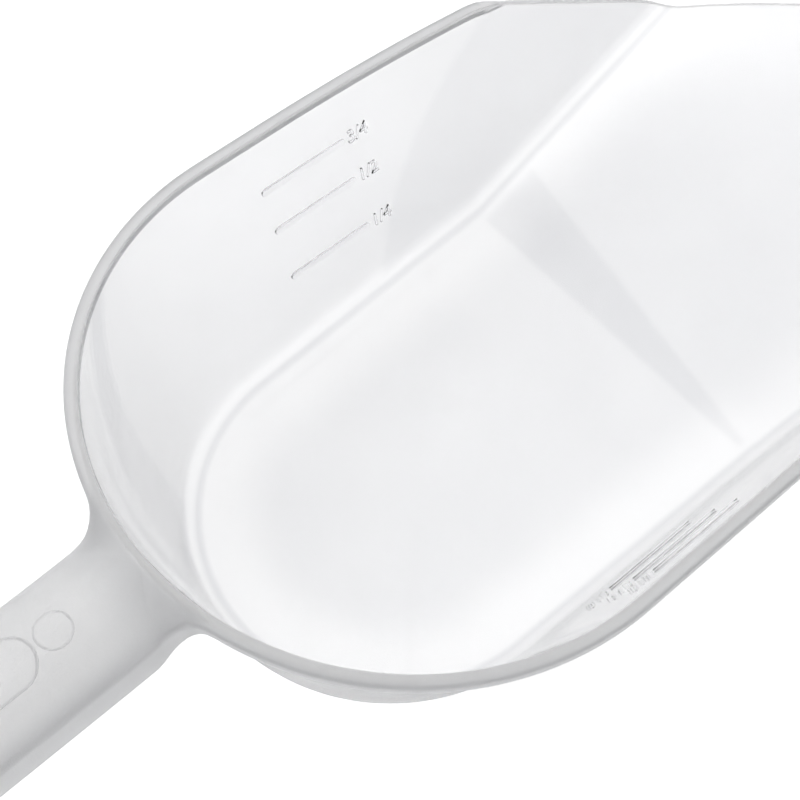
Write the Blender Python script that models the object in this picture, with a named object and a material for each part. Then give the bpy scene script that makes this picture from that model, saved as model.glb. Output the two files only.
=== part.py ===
"""Feed scoop: a one-shot injection moulding in clear polypropylene, modelled region by region.

Axes: +X runs from the handle to the pouring lip, +Z is up and the scoop stands on its flat floor at z = 0.
The origin is the middle of the bounding box's underside. Everything is in metres.

The bowl is worked out in its own coordinates first: x = 0 lies near the crease between floor and ramp,
and z = 0 is the inside of the floor. TO_ORIGIN then moves each finished shape into the part's frame.
"""

import math

import bmesh
import bpy
from mathutils import Matrix, Vector

MM = 0.001
GAP = 0.3 * MM                      # clearance between neighbouring regions of the moulding

# Bowl
WALL = 2.0 * MM                     # plastic thickness of floor and walls
FLOOR_HALF_WIDTH = 55.5 * MM        # inside, at x = 0
SIDE_TAPER = 0.028                  # the sides open this much towards the mouth
WALL_FLARE = 0.328                  # the walls lean outwards by this much per unit of height
BACK_CENTRE = -77.5 * MM            # middle of the round back, at floor level
BACK_SHIFT = 0.109                  # that middle moves forward with height, so the back is a little steeper
FLOOR_FILLET = 6.5 * MM             # inside radius between floor and wall
CREASE_X = 6.0 * MM                 # where the flat floor turns up into the ramp
RAMP_SLOPE = 0.2
RIM_HEIGHT = 62.7 * MM              # rim above the inside floor, at x = 0
RIM_SLOPE = 0.073                   # the rim rises towards the handle
RIM_DROOP_START = -48.0 * MM        # in front of this the rim also curves down
RIM_DROOP = 0.667                   # curvature of that drop, per metre
CORNER_X = 27.3 * MM                # front end of the rim
LIP_SIDE_X = 94.5 * MM              # where the side walls run out into the lip
LIP_TIP_X = 134.5 * MM
LIP_NOSE_RADIUS = 45.0 * MM
LIP_EDGE = 1.3 * MM                 # thickness at the lip
FLOOR_SHARES = (0, 0.15, 0.3, 0.45, 0.6, 0.72, 0.84, 0.93, 1)

# Rim bead
BEAD_REACH = 3.3 * MM               # inner wall face to the bead's outside
BEAD_DEPTH = 3.4 * MM
BEAD_ROUND = 0.5 * MM

# Handle
HANDLE_HALF_WIDTH = 15.3 * MM
HANDLE_CROWN = 73.3 * MM            # top of the handle above the inside floor
HANDLE_CORNER = 5.5 * MM            # radius between crown and side
HANDLE_SHOULDER = 64.0 * MM         # height where that radius ends and the side begins
HANDLE_BOTTOM = 55.8 * MM
HANDLE_DRAFT = 0.4 * MM             # the sides spread this much from shoulder to lower edge
HANDLE_WALL = 2.2 * MM
HANDLE_FILLET = 8.0 * MM            # plan radius where the handle grows out of the rim
HANDLE_FLARE_END = -172.0 * MM
HANDLE_END_CENTRE = -250.7 * MM     # middle of the round end
HANG_HOLE_RADIUS = 4.5 * MM

# Badge outline on the handle, with nothing written in it
BADGE_FRONT = -176.7 * MM
BADGE_BACK = -232.0 * MM
BADGE_HALF_WIDTH = 6.5 * MM
BADGE_LINE = 0.8 * MM
BADGE_RELIEF = 0.5 * MM

# Graduations on both walls
MARK_LEVELS = {"quarter": 21.6 * MM, "half": 37.5 * MM, "three_quarter": 50.2 * MM}
MARK_MIDDLE_X = -44.8 * MM
MARK_LENGTH = 28.5 * MM
MARK_WIDTH = 2.3 * MM
MARK_RELIEF = 0.5 * MM
MARK_SLOPE = -0.07                  # the bars run parallel to the rim

HANDLE_LENGTH_END = HANDLE_END_CENTRE - HANDLE_HALF_WIDTH - HANDLE_DRAFT
TO_ORIGIN = Matrix.Translation((-(HANDLE_LENGTH_END + LIP_TIP_X) / 2, 0, WALL))

DRAFT_ANGLE = math.atan(WALL_FLARE)
SIDE_NORMAL_ANGLE = math.pi / 2 + math.atan(SIDE_TAPER)


# ---------------------------------------------------------------- bowl geometry

def side_half_width(x, z):
    """Half width between the inside faces of the straight side walls."""
    return FLOOR_HALF_WIDTH + SIDE_TAPER * x + WALL_FLARE * z


def back_centre(z):
    return BACK_CENTRE + BACK_SHIFT * z


def back_radius(z):
    """Radius of the round back at height z: it runs tangent into both sides."""
    return side_half_width(back_centre(z), z) / math.hypot(1, SIDE_TAPER)


def ramp_height(x):
    return max(0.0, RAMP_SLOPE * (x - CREASE_X))


def rim_height(x):
    return RIM_HEIGHT - RIM_SLOPE * x - RIM_DROOP * max(0.0, x - RIM_DROOP_START) ** 2


def wall_top(x):
    """Height of the wall's upper edge: the rim, then the straight front edge down to the lip."""
    if x <= CORNER_X:
        return rim_height(x)
    share = (x - CORNER_X) / (LIP_SIDE_X - CORNER_X)
    return rim_height(CORNER_X) + share * (ramp_height(LIP_SIDE_X) - rim_height(CORNER_X))


def back_rim_height(angle):
    """Rim height on the round back, where x depends on the height itself."""
    z = RIM_HEIGHT
    for _ in range(12):
        z = rim_height(back_centre(z) + back_radius(z) * math.cos(angle))
    return z


def wall_profile(width, base, top):
    """(inner, outer) lists of (distance, height) from the floor's middle out and up to the wall's edge."""
    lean = math.sqrt(1 + WALL_FLARE ** 2)
    height = top - base
    radius = min(FLOOR_FILLET, height * 0.6)
    tangent = radius * math.tan((math.pi / 2 - DRAFT_ANGLE) / 2)
    inner = [((width - tangent) * share, base) for share in FLOOR_SHARES]
    outer = [(distance, base - WALL) for distance, _ in inner]
    for step in (1, 2, 3):
        turn = (math.pi / 2 - DRAFT_ANGLE) * step / 3
        for line, reach in ((inner, radius), (outer, radius + WALL)):
            line.append((width - tangent + reach * math.sin(turn), base + radius - reach * math.cos(turn)))
    inner_top = (width + WALL_FLARE * height, top)
    outer_top = (inner_top[0] + WALL * lean, top)
    for line, end in ((inner, inner_top), (outer, outer_top)):
        start = line[-1]
        for share in (0.35, 0.7, 1):
            line.append((start[0] + (end[0] - start[0]) * share, start[1] + (end[1] - start[1]) * share))
    return inner, outer


def back_section(angle):
    profiles = wall_profile(back_radius(0), 0.0, back_rim_height(angle))
    return [[(back_centre(z) + w * math.cos(angle), w * math.sin(angle), z) if w else (BACK_CENTRE, 0, z)
             for w, z in line] for line in profiles]


def side_section(x):
    base = ramp_height(x)
    profiles = wall_profile(side_half_width(x, base), base, wall_top(x))
    return [[(x, w, z) for w, z in line] for line in profiles]


def lip_outline(share):
    """Point on the lip's plan: share 0 is the tip, 1 is where the side wall runs out."""
    side = side_half_width(LIP_SIDE_X, ramp_height(LIP_SIDE_X))
    nose = LIP_TIP_X - LIP_NOSE_RADIUS
    reach = math.hypot(LIP_SIDE_X - nose, side)
    tangent_angle = math.atan2(side, LIP_SIDE_X - nose) - math.acos(LIP_NOSE_RADIUS / reach)
    arc = LIP_NOSE_RADIUS * tangent_angle
    flank = math.sqrt(reach ** 2 - LIP_NOSE_RADIUS ** 2)
    travelled = share * (arc + flank)
    if travelled <= arc:
        turn = travelled / LIP_NOSE_RADIUS
        return nose + LIP_NOSE_RADIUS * math.cos(turn), LIP_NOSE_RADIUS * math.sin(turn)
    along = (travelled - arc) / flank
    start = (nose + LIP_NOSE_RADIUS * math.cos(tangent_angle), LIP_NOSE_RADIUS * math.sin(tangent_angle))
    return start[0] + (LIP_SIDE_X - start[0]) * along, start[1] + (side - start[1]) * along


def lip_section(last, step):
    """A row between the last wall section and the lip; step runs from 0 to 1 at the lip."""
    inner, outer = [], []
    width = last[0][len(FLOOR_SHARES) - 1][1]
    for top, under in zip(*last):
        if top[1] >= width:
            inner.append(top)
            outer.append(under)
            continue
        x, y = lip_outline(top[1] / width)
        x = top[0] + (x - top[0]) * step
        y = top[1] + (y - top[1]) * step
        inner.append((x, y, ramp_height(x)))
        outer.append((x, y, ramp_height(x) - WALL + (WALL - LIP_EDGE) * step))
    return [inner, outer]


def bowl_sections():
    """Half sections for y > 0, from the middle of the back round to the lip."""
    sections = [back_section(math.pi + (SIDE_NORMAL_ANGLE - math.pi) * step / 11) for step in range(12)]
    along = [-60, -45, -30, -15, -5, 4, 8, 17, 26, 37, 48, 60, 72, 83, LIP_SIDE_X / MM]
    sections += [side_section(x * MM) for x in along]
    last = sections[-1]
    sections += [lip_section(last, step / 5) for step in range(1, 6)]
    return sections


# ---------------------------------------------------------------- mesh helpers

def material(name, colour, roughness, alpha=1.0):
    made = bpy.data.materials.new(name)
    made.use_nodes = True
    shader = made.node_tree.nodes["Principled BSDF"]
    shader.inputs["Base Color"].default_value = (*colour, 1.0)
    shader.inputs["Roughness"].default_value = roughness
    shader.inputs["Metallic"].default_value = 0.0
    shader.inputs["Alpha"].default_value = alpha
    return made


def add_object(name, mesh, finish):
    """Links a finished mesh as one node, with its faces turned out and its edges sharp past 40 degrees."""
    shape = bmesh.new()
    shape.from_mesh(mesh)
    bmesh.ops.remove_doubles(shape, verts=shape.verts, dist=1e-6)
    bmesh.ops.recalc_face_normals(shape, faces=shape.faces)
    shape.transform(TO_ORIGIN)
    shape.to_mesh(mesh)
    shape.free()
    mesh.shade_smooth()
    mesh.set_sharp_from_angle(angle=math.radians(40))
    mesh.materials.clear()
    mesh.materials.append(finish)
    made = bpy.data.objects.new(name, mesh)
    bpy.context.scene.collection.objects.link(made)
    return made


class Skin:
    """Collects points and faces, and closes them into one mesh."""

    def __init__(self):
        self.points = []
        self.faces = []

    def add_grid(self, rows):
        """Quads between neighbouring rows of points."""
        start = len(self.points)
        width = len(rows[0])
        self.points += [tuple(point) for row in rows for point in row]
        for i in range(len(rows) - 1):
            for j in range(width - 1):
                a = start + i * width + j
                self.faces.append((a, a + 1, a + width + 1, a + width))

    def add_shell(self, sections):
        """An inner and an outer grid, joined along their far column and their last row."""
        inner = [section[0] for section in sections]
        outer = [section[1] for section in sections]
        self.add_grid(inner)
        self.add_grid([row[::-1] for row in outer])
        self.add_grid([[row[-1] for row in inner], [row[-1] for row in outer]])
        self.add_grid([inner[-1], outer[-1]])

    def mesh(self, name):
        made = bpy.data.meshes.new(name)
        made.from_pydata(self.points, [], self.faces)
        return made


def mirrored(sections):
    return [[[(x, -y, z) for x, y, z in line] for line in section] for section in sections]


# ---------------------------------------------------------------- the pieces

def make_bowl(finish):
    """Floor, pouring ramp, round back and flared sides, as one thin shell."""
    sections = bowl_sections()
    skin = Skin()
    skin.add_shell(sections)
    skin.add_shell(mirrored(sections))
    return add_object("bowl", skin.mesh("bowl"), finish)


def bead_section(place, width, top):
    """Closed outline of the bead where the wall's inside face is `width` out at height `top`."""
    lean = math.sqrt(1 + WALL_FLARE ** 2)
    face = width + (WALL + GAP) * lean
    bottom = top - BEAD_DEPTH
    out = width + BEAD_REACH
    outline = [
        (face, top),
        (out - BEAD_ROUND, top),
        (out - BEAD_ROUND * 0.3, top - BEAD_ROUND * 0.3),
        (out, top - BEAD_ROUND),
        (out, bottom + BEAD_ROUND * 0.6),
        (out - BEAD_ROUND * 0.6, bottom),
        (face - WALL_FLARE * BEAD_DEPTH, bottom),
    ]
    return [place(w, z) for w, z in outline]


def make_rim_bead(finish):
    """The thickened edge that runs outside the wall from one front corner round the back to the other."""
    loops = []
    for x in (CORNER_X - GAP, 17 * MM, 4 * MM, -10 * MM, -25 * MM, -40 * MM, -55 * MM):
        top = rim_height(x)
        width = side_half_width(x, top)
        loops.append(bead_section(lambda w, z, x=x: (x, w, z), width, top))
    for step in range(12):
        angle = SIDE_NORMAL_ANGLE + (math.pi - SIDE_NORMAL_ANGLE) * step / 11
        top = back_rim_height(angle)
        centre = back_centre(top)
        loops.append(bead_section(
            lambda w, z, angle=angle, centre=centre: (centre + w * math.cos(angle), w * math.sin(angle), z),
            back_radius(top), top))
    loops += [[(x, -y, z) for x, y, z in loop] for loop in loops[-2::-1]]
    skin = Skin()
    skin.add_grid([loop + loop[:1] for loop in loops])
    for end in (0, len(loops) - 1):
        size = len(loops[0])
        first = len(skin.points)
        skin.points += loops[end]
        skin.faces.append(tuple(range(first, first + size)))
    return add_object("rim_bead", skin.mesh("rim_bead"), finish)


def handle_profile(half_width):
    """(outer, under) half sections of the handle as (distance from the middle, height)."""
    lines = []
    for inset in (0.0, HANDLE_WALL):
        corner = HANDLE_CORNER - inset
        crown = HANDLE_CROWN - inset
        middle = half_width - HANDLE_CORNER
        rise = crown - HANDLE_SHOULDER
        radius = (middle ** 2 + rise ** 2 - corner ** 2) / (2 * rise - 2 * corner)
        tangent = math.atan2(middle, radius - rise)
        line = [(radius * math.sin(tangent * share), crown - radius * (1 - math.cos(tangent * share)))
                for share in (0, 0.25, 0.5, 0.75, 1)]
        for step in (1, 2, 3, 4):
            turn = tangent + (math.pi / 2 - tangent) * step / 4
            line.append((middle + corner * math.sin(turn), HANDLE_SHOULDER + corner * math.cos(turn)))
        line.append((middle + corner + HANDLE_DRAFT, HANDLE_BOTTOM))
        lines.append(line)
    return lines


def handle_root(y, z):
    """x of the face that the handle grows from: the bead, and the bowl's wall at the lower edge."""
    top = back_rim_height(math.pi)
    if z >= HANDLE_SHOULDER:
        reach = back_radius(top) + BEAD_REACH + GAP
        centre = back_centre(top)
    else:
        reach = back_radius(z) + (WALL + GAP) * math.sqrt(1 + WALL_FLARE ** 2)
        centre = back_centre(z)
    return centre - math.sqrt(reach ** 2 - y ** 2)


def handle_sections():
    """Half sections for y > 0, from the rim back to the middle of the round end."""
    sections = []
    for share in (0, 0.04, 0.12, 0.25, 0.4, 0.52, 0.75, 1):
        distance = share * (handle_root(0, HANDLE_CROWN) - HANDLE_FLARE_END)
        inward = max(0.0, HANDLE_FILLET - distance)
        flare = HANDLE_FILLET - math.sqrt(HANDLE_FILLET ** 2 - inward ** 2)
        lines = handle_profile(HANDLE_HALF_WIDTH + flare)
        sections.append([[(handle_root(w, z) * (1 - share) + HANDLE_FLARE_END * share, w, z)
                          for w, z in line] for line in lines])
    straight = handle_profile(HANDLE_HALF_WIDTH)
    for step in (1, 2, 3, 4):
        x = HANDLE_FLARE_END + (HANDLE_END_CENTRE - HANDLE_FLARE_END) * step / 4
        sections.append([[(x, w, z) for w, z in line] for line in straight])
    for step in range(1, 9):
        angle = math.pi / 2 + math.pi / 2 * step / 8
        sections.append([[(HANDLE_END_CENTRE + w * math.cos(angle), w * math.sin(angle), z)
                          for w, z in line] for line in straight])
    return sections


def make_handle(finish):
    """A crowned, inverted channel, open underneath, with a round end and a hole to hang it by."""
    skin = Skin()
    sections = handle_sections()
    for half in (sections, mirrored(sections)):
        outer = [section[0] for section in half]
        under = [section[1] for section in half]
        skin.add_grid(outer)
        skin.add_grid(under)
        skin.add_grid([[row[-1] for row in outer], [row[-1] for row in under]])
        skin.add_grid([outer[0], under[0]])
    handle = add_object("handle", skin.mesh("handle"), finish)
    cutter = bmesh.new()
    bmesh.ops.create_cone(cutter, cap_ends=True, segments=24, radius1=HANG_HOLE_RADIUS,
                          radius2=HANG_HOLE_RADIUS, depth=0.04,
                          matrix=TO_ORIGIN @ Matrix.Translation((HANDLE_END_CENTRE, 0, HANDLE_CROWN)))
    hole_mesh = bpy.data.meshes.new("hang_hole_cutter")
    cutter.to_mesh(hole_mesh)
    cutter.free()
    hole = bpy.data.objects.new("hang_hole_cutter", hole_mesh)
    hole.hide_render = True
    hole.display_type = "WIRE"
    bpy.context.scene.collection.objects.link(hole)
    cut = handle.modifiers.new("hang_hole", "BOOLEAN")
    cut.operation = "DIFFERENCE"
    cut.solver = "EXACT"
    cut.object = hole
    return handle


def crown_height(y):
    """Height of the handle's top at y, away from the rim."""
    middle = HANDLE_HALF_WIDTH - HANDLE_CORNER
    rise = HANDLE_CROWN - HANDLE_SHOULDER
    radius = (middle ** 2 + rise ** 2 - HANDLE_CORNER ** 2) / (2 * rise - 2 * HANDLE_CORNER)
    return HANDLE_CROWN - radius + math.sqrt(radius ** 2 - y ** 2)


def make_badge(finish):
    """A blank, raised outline with round ends, which follows the handle's crown."""
    front = BADGE_FRONT - BADGE_HALF_WIDTH
    back = BADGE_BACK + BADGE_HALF_WIDTH
    loops = []
    for middle, first in ((front, -math.pi / 2), (back, math.pi / 2)):
        for step in range(13):
            angle = first + math.pi * step / 12
            loop = []
            for inset, height in ((0, GAP), (0, GAP + BADGE_RELIEF),
                                  (BADGE_LINE, GAP + BADGE_RELIEF), (BADGE_LINE, GAP)):
                reach = BADGE_HALF_WIDTH - inset
                y = reach * math.sin(angle)
                loop.append((middle + reach * math.cos(angle), y, crown_height(y) + height))
            loops.append(loop)
    loops.append(loops[0])
    skin = Skin()
    skin.add_grid([loop + loop[:1] for loop in loops])
    return add_object("handle_badge", skin.mesh("handle_badge"), finish)


def wall_plate(x, z, side):
    """Matrix that lays a drawing, facing +Z with its text along +X, on the inside of a side wall."""
    normal = Vector((0, -side, WALL_FLARE)).normalized()
    along = Vector((1.0, side * SIDE_TAPER, 0.0)) * side
    along = (along + Vector((0, side * WALL_FLARE, 1)) * MARK_SLOPE * side).normalized()
    normal = (normal - along * normal.dot(along)).normalized()
    up = normal.cross(along)
    turned = Matrix((along, up, normal)).transposed().to_4x4()
    spot = Vector((x, side * side_half_width(x, z), z))
    return Matrix.Translation(spot) @ turned


def bar_mesh(name, plate):
    """A flat bar with round ends, lying on its back face, moved to its place by the matrix `plate`."""
    shape = bmesh.new()
    reach = MARK_WIDTH / 2
    outline = []
    for middle, first in ((MARK_LENGTH / 2 - reach, -math.pi / 2), (reach - MARK_LENGTH / 2, math.pi / 2)):
        for step in range(7):
            angle = first + math.pi * step / 6
            outline.append(shape.verts.new((middle + reach * math.cos(angle), reach * math.sin(angle), 0)))
    base = shape.faces.new(outline)
    raised = bmesh.ops.extrude_face_region(shape, geom=[base])["geom"]
    tops = [item for item in raised if isinstance(item, bmesh.types.BMVert)]
    bmesh.ops.translate(shape, verts=tops, vec=(0, 0, MARK_RELIEF))
    shape.transform(plate)
    made = bpy.data.meshes.new(name)
    shape.to_mesh(made)
    shape.free()
    return made


def make_graduation(level, side, finish):
    """One level mark: a raised bar on the inside of a side wall, parallel to the rim."""
    plate = wall_plate(MARK_MIDDLE_X, MARK_LEVELS[level], side) @ Matrix.Translation((0, 0, GAP))
    name = f"graduation_{level}_{'left' if side > 0 else 'right'}"
    return add_object(name, bar_mesh(name, plate), finish)


def main():
    for old in list(bpy.data.objects):
        bpy.data.objects.remove(old, do_unlink=True)
    make_bowl(material("clear_plastic", (0.86, 0.86, 0.88), 0.18, 0.75))
    make_rim_bead(material("rim_plastic", (0.80, 0.80, 0.83), 0.30))
    make_handle(material("frosted_plastic", (0.78, 0.78, 0.81), 0.50))
    make_badge(material("badge_plastic", (0.72, 0.72, 0.76), 0.35))
    marks = material("mark_plastic", (0.74, 0.74, 0.78), 0.25)
    for level in MARK_LEVELS:
        for side in (1, -1):
            make_graduation(level, side, marks)


main()
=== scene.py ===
"""Looks of a clear plastic feed scoop: one continuous moulding, its fill marks, badge outline and studio."""

import math

import bmesh
import bpy
from bpy.props import FloatProperty, FloatVectorProperty, IntProperty, PointerProperty
from mathutils import Matrix, Vector


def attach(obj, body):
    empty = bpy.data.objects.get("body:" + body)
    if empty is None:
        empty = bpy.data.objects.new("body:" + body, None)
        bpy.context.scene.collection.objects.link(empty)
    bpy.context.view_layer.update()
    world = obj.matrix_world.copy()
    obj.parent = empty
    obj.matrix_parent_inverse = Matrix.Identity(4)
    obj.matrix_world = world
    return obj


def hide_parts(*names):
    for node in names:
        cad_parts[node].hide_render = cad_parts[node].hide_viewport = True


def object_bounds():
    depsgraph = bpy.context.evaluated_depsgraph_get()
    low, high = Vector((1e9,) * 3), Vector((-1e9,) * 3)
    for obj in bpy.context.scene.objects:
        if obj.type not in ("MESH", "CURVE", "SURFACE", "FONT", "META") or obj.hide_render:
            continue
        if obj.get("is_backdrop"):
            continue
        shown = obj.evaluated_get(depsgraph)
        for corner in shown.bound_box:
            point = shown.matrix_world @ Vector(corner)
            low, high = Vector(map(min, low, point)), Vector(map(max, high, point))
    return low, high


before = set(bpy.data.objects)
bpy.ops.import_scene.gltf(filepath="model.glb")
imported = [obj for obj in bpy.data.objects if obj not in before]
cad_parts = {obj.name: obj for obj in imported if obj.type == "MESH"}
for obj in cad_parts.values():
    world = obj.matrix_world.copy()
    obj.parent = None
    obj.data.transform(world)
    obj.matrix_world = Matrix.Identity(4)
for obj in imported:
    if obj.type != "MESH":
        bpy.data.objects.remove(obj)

bl_info = {
    "name": "Feed Scoop",
    "version": (1, 0, 0),
    "blender": (4, 5, 0),
    "location": "View3D > Sidebar > Feed Scoop",
    "description": "Builds a translucent feed scoop around its packed frame",
    "category": "Object",
}

CAD_LOW, CAD_HIGH = (Vector(corner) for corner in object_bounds())
MM = 0.001


def length(name, description, default_mm):
    """A length property whose default is given in millimetres."""
    return FloatProperty(name=name, description=description, default=default_mm * MM,
                         unit="LENGTH", precision=5)


def ratio(name, description, default):
    return FloatProperty(name=name, description=description, default=default, precision=4)


def power(name, description, default):
    return FloatProperty(name=name, description=description, default=default, unit="POWER")


def colour(name, description, default):
    return FloatVectorProperty(name=name, description=description, default=default, subtype="COLOR")


def position(name, description, default):
    return FloatVectorProperty(name=name, description=description, default=default,
                               subtype="TRANSLATION", precision=5)


# ---------------------------------------------------------------- sizes

class BowlSizes(bpy.types.PropertyGroup):
    """Inside shape of the bowl. x = 0 is near the crease, z = 0 is the inside of the floor."""
    wall: length("Wall", "Plastic thickness of floor and walls", 2.0)
    lip_wall: length("Lip thickness", "Plastic thickness at the pouring lip", 1.4)
    floor_half_width: length("Floor half width", "Inside, at x = 0", 55.5)
    side_taper: ratio("Side taper", "How much the sides open towards the mouth", 0.028)
    wall_flare: ratio("Wall flare", "How far the walls lean outwards per unit of height", 0.328)
    back_centre: length("Back centre", "Middle of the round back at floor level", -77.5)
    back_shift: ratio("Back shift", "How far that middle moves forward per unit of height", 0.109)
    fillet: length("Floor fillet", "Inside radius between floor and wall", 6.5)
    crease: length("Crease", "Where the floor turns up into the ramp", 6.0)
    crease_round: length("Crease rounding", "Half length of the crease's bend", 3.0)
    ramp_slope: ratio("Ramp slope", "Rise of the ramp per unit of length", 0.2)
    rim: length("Rim height", "Rim above the inside floor at x = 0", 62.7)
    rim_slope: ratio("Rim slope", "How fast the rim rises towards the handle", 0.073)
    droop_start: length("Droop start", "In front of this the rim also curves down", -48.0)
    droop: ratio("Droop", "Curvature of that drop, per metre", 0.667)
    corner: length("Front corner", "Front end of the rim", 27.3)
    corner_round: length("Corner rounding", "Softness of the rim's front corner", 4.0)
    lip_side: length("Lip side", "Where the side walls run out into the lip", 94.5)
    lip_side_round: length("Lip side rounding", "Softness of the turn from side wall to lip", 9.0)
    lip_tip: length("Lip tip", "Front of the pouring lip", 134.5)
    lip_nose: length("Lip nose", "Plan radius of the lip's nose", 45.0)


class RimSizes(bpy.types.PropertyGroup):
    """The thickened bead along the rim."""
    width: length("Width", "Inner wall face to the bead's outside", 3.3)
    depth: length("Depth", "Height of the bead", 3.4)
    edge: length("Outer radius", "Rounding of the bead's outer top edge", 1.2)
    inner_edge: length("Inner radius", "Rounding where the rim meets the inside", 0.3)
    under: length("Under radius", "Rounding of the bead's lower edge", 0.8)


class HandleSizes(bpy.types.PropertyGroup):
    """The hollow, crowned handle."""
    half_width: length("Half width", "Half the width at the shoulder", 15.3)
    crown: length("Crown", "Top of the handle above the inside floor", 73.3)
    shoulder: length("Shoulder", "Height where the corner radius ends", 64.0)
    corner: length("Corner radius", "Radius between crown and side", 5.5)
    bottom: length("Bottom", "Lower edge above the inside floor", 55.8)
    draft: length("Draft", "How far the sides spread from shoulder to lower edge", 0.4)
    wall: length("Wall", "Plastic thickness of the handle", 2.2)
    fillet: length("Root fillet", "Plan radius where the handle grows out of the rim", 8.0)
    straight: length("Straight start", "Where the handle's straight part begins", -178.0)
    end_centre: length("End centre", "Middle of the round end", -250.7)
    hole: length("Hole radius", "Radius of the hanging hole", 4.5)


class MarkSizes(bpy.types.PropertyGroup):
    """Raised fill marks on the side walls."""
    middle: length("Middle", "Middle of the bars along the scoop", -44.8)
    length: length("Length", "Length of a bar", 28.5)
    width: length("Width", "Width of a bar", 2.3)
    relief: length("Relief", "How far bars and figures stand out", 0.6)
    root: length("Root", "How far they reach into the wall", -0.02)
    slope: ratio("Slope", "Fall of the bars towards the mouth", -0.07)
    quarter: length("Quarter", "Height of the lowest bar", 21.6)
    half: length("Half", "Height of the middle bar", 37.5)
    three_quarter: length("Three quarters", "Height of the highest bar", 50.2)
    figure: length("Figures", "Type size of the figures", 5.6)
    gap: length("Gap", "Space between a bar and its figures", 1.0)


class BadgeSizes(bpy.types.PropertyGroup):
    """Blank raised outline and moulding ring on the handle's crown."""
    front: length("Front", "Bowl end of the outline", -176.7)
    back: length("Back", "Far end of the outline", -232.0)
    half_width: length("Half width", "Half the outline's width", 6.5)
    line: length("Line", "Width of the raised line", 0.7)
    relief: length("Relief", "How far the line stands out", 0.05)
    ring_x: length("Ring place", "Middle of the moulding ring", -171.5)
    ring: length("Ring radius", "Radius of the moulding ring", 4.2)
    ring_line: length("Ring line", "Width of the ring's line", 0.5)
    ring_relief: length("Ring relief", "How far the ring stands out", 0.01)


class Detail(bpy.types.PropertyGroup):
    """How finely the moulding is divided."""
    back: IntProperty(name="Back", description="Steps round half of the back", default=48)
    floor: IntProperty(name="Floor", description="Columns from the middle to the fillet", default=20)
    fillet: IntProperty(name="Fillet", description="Columns across the fillet", default=8)
    wall: IntProperty(name="Wall", description="Columns up the wall", default=20)


# ---------------------------------------------------------------- geometry helpers

def mix(a, b, share):
    return a + (b - a) * share


def smooth(low, high, value):
    """0 below low, 1 above high, and an even S between them."""
    share = min(max((value - low) / (high - low), 0.0), 1.0)
    return share * share * (3 - 2 * share)


def soft_min(a, b, reach):
    """The smaller of two lengths, rounded where they cross."""
    share = min(max(0.5 + 0.5 * (b - a) / reach, 0.0), 1.0)
    return mix(b, a, share) - reach * share * (1 - share)


def bend(start, control, end, steps):
    """Points after `start` on the curve that turns from start to end round its control point."""
    found = []
    for step in range(1, steps + 1):
        t = step / steps
        found.append(tuple((1 - t) ** 2 * a + 2 * t * (1 - t) * b + t * t * c
                           for a, b, c in zip(start, control, end)))
    return found


def line(start, end, steps):
    return [tuple(mix(a, b, step / steps) for a, b in zip(start, end)) for step in range(1, steps + 1)]


class Section:
    """One upright cut through half of the bowl, from the floor's middle out over the wall."""

    def __init__(self, place, width, base, flare, top, sizes):
        self.place, self.base, self.top = place, base, top
        self.lean = math.atan(flare)
        self.radius = sizes.fillet
        tangent = self.radius * math.tan((math.pi / 2 - self.lean) / 2)
        self.floor_end = width - tangent
        self.fillet_end = self.floor_end + self.radius * (math.pi / 2 - self.lean)
        self.reach = self.along_at(top)

    def along_at(self, height):
        """Distance along the profile at which its wall reaches this height."""
        start = self.point(self.fillet_end)[1]
        return self.fillet_end + (height - start) / math.cos(self.lean)

    def point(self, along):
        if along <= self.floor_end:
            return along, self.base
        turn = min((along - self.floor_end) / self.radius, math.pi / 2 - self.lean)
        w = self.floor_end + self.radius * math.sin(turn)
        z = self.base + self.radius * (1 - math.cos(turn))
        rest = max(0.0, along - self.fillet_end)
        return w + rest * math.sin(self.lean), z + rest * math.cos(self.lean)

    def normal(self, along):
        """Direction out of the plastic, away from the inside of the bowl."""
        turn = min(max((along - self.floor_end) / self.radius, 0.0), math.pi / 2 - self.lean)
        return math.sin(turn), -math.cos(turn)

    def inner(self, along):
        return Vector(self.place(*self.point(along)))

    def outer(self, along, thickness):
        (w, z), (nw, nz) = self.point(along), self.normal(along)
        return Vector(self.place(w + thickness * nw, z + thickness * nz))

    def columns(self, detail, reach):
        """Distances along the profile, with steady counts on floor, fillet and wall."""
        floor = min(self.floor_end, reach)
        fillet = min(self.fillet_end, reach)
        found = [0.0] + [floor * step / detail.floor for step in range(1, detail.floor + 1)]
        found += [mix(floor, fillet, step / detail.fillet) for step in range(1, detail.fillet + 1)]
        return found + [mix(fillet, reach, step / detail.wall) for step in range(1, detail.wall + 1)]


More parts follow.
